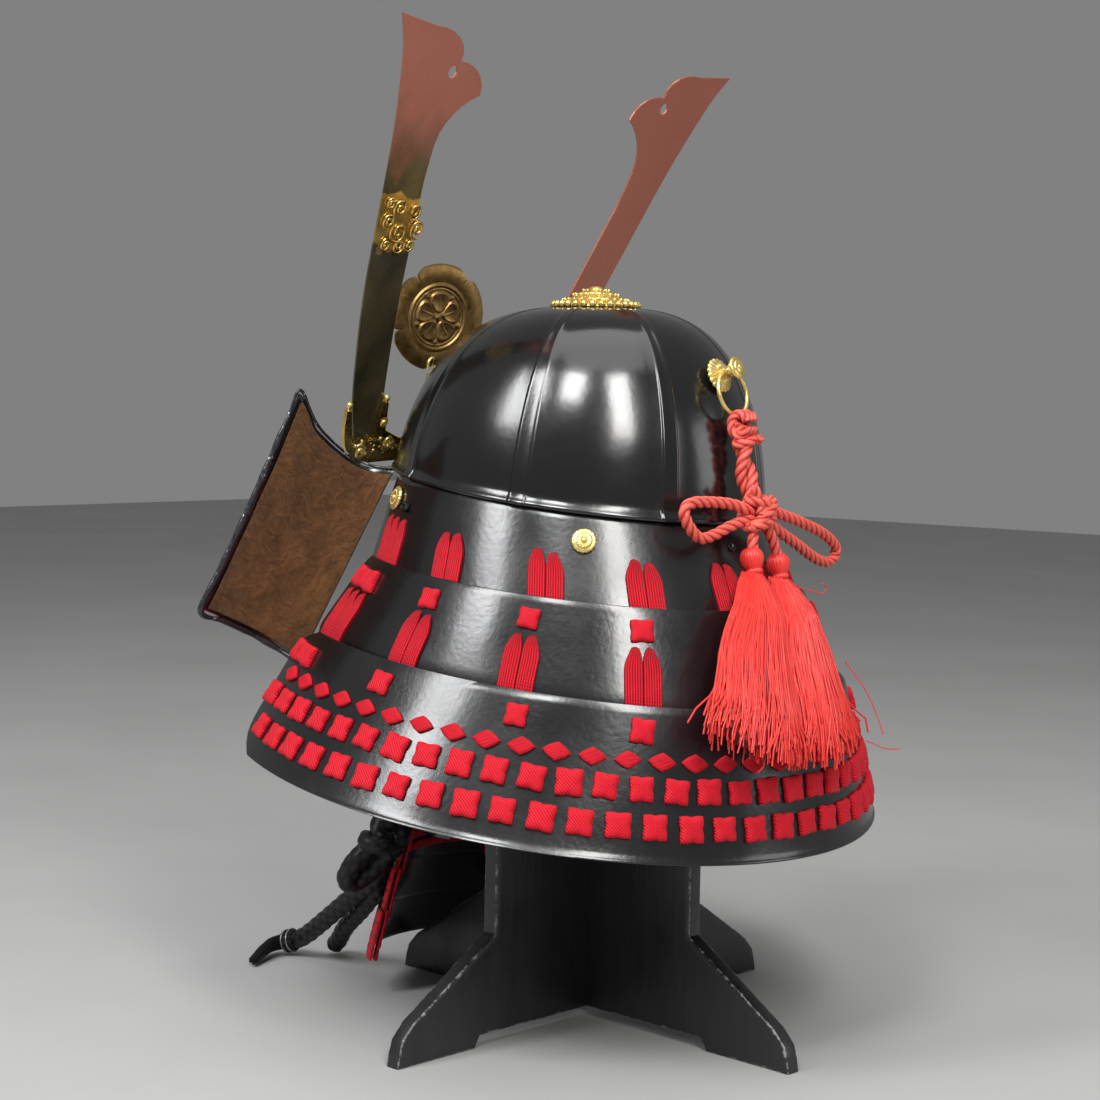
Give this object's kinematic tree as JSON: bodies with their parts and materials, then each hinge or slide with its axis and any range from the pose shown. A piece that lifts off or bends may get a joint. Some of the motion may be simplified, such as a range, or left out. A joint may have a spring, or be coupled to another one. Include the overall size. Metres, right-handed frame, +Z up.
{
  "type": "samurai helmet on a crossed-board stand",
  "caption": "Black lacquered kabuto with lapped neck plates laced in red, tall horns, a tasselled red cord and a throat guard, on a crossed-board stand.",
  "frame": {"origin": "on the surface under the stand, below the middle of the whole outline without its loose cords", "axes": "+Z up, -Y the way that the wearer faces, +X towards the wearer's left"},
  "size_m": [0.4078, 0.4475, 0.6136],
  "materials": {
    "black_lacquer": "gloss",
    "bright_gilt": "polished",
    "old_gilt": "satin",
    "horn_sheet": "satin",
    "red_lace": "matte",
    "red_silk": "satin",
    "brown_suede": "matte",
    "black_braid": "matte",
    "stand_paint": "satin"
  },
  "bodies": {
    "root": {"bowl": "black_lacquer", "visor": "black_lacquer", "neck_plate_1": "black_lacquer", "neck_plate_2": "black_lacquer", "neck_plate_3": "black_lacquer", "turnback_left": "black_lacquer", "turnback_right": "black_lacquer", "turnback_rim_left": "black_lacquer", "turnback_rim_right": "black_lacquer", "rear_screw": "black_lacquer", "chin_guard": "black_lacquer", "throat_lame_1": "black_lacquer", "throat_lame_2": "black_lacquer", "throat_lame_3": "black_lacquer", "top_ornament": "bright_gilt", "horn_base": "bright_gilt", "rear_stud": "bright_gilt", "rear_ring": "bright_gilt", "boss_side_left": "bright_gilt", "boss_side_right": "bright_gilt", "boss_front_left": "bright_gilt", "boss_front_right": "bright_gilt", "crest_disc": "old_gilt", "horn_left": "horn_sheet", "horn_right": "horn_sheet", "lace_pair_1_left_1": "red_lace", "lace_pair_1_left_2": "red_lace", "lace_pair_1_left_3": "red_lace", "lace_pair_1_left_4": "red_lace", "lace_end_1_left": "red_lace", "lace_pair_1_right_1": "red_lace", "lace_pair_1_right_2": "red_lace", "lace_pair_1_right_3": "red_lace", "lace_pair_1_right_4": "red_lace", "lace_end_1_right": "red_lace", "lace_pair_2_left_1": "red_lace", "lace_pair_2_left_2": "red_lace", "lace_pair_2_left_3": "red_lace", "lace_pair_2_left_4": "red_lace", "lace_end_2_left": "red_lace", "lace_pair_2_right_1": "red_lace", "lace_pair_2_right_2": "red_lace", "lace_pair_2_right_3": "red_lace", "lace_pair_2_right_4": "red_lace", "lace_end_2_right": "red_lace", "red_cord": "red_silk", "tassel_head_left": "red_silk", "tassel_head_right": "red_silk", "tassel_skirt_left": "red_silk", "tassel_skirt_right": "red_silk", "turnback_lining_left": "brown_suede", "turnback_lining_right": "brown_suede", "chin_cord": "black_braid", "cord_end_band": "black_braid", "cord_end_fringe": "black_braid", "stand_board_long": "stand_paint", "stand_board_cross": "stand_paint"}
  },
  "joints": []
}
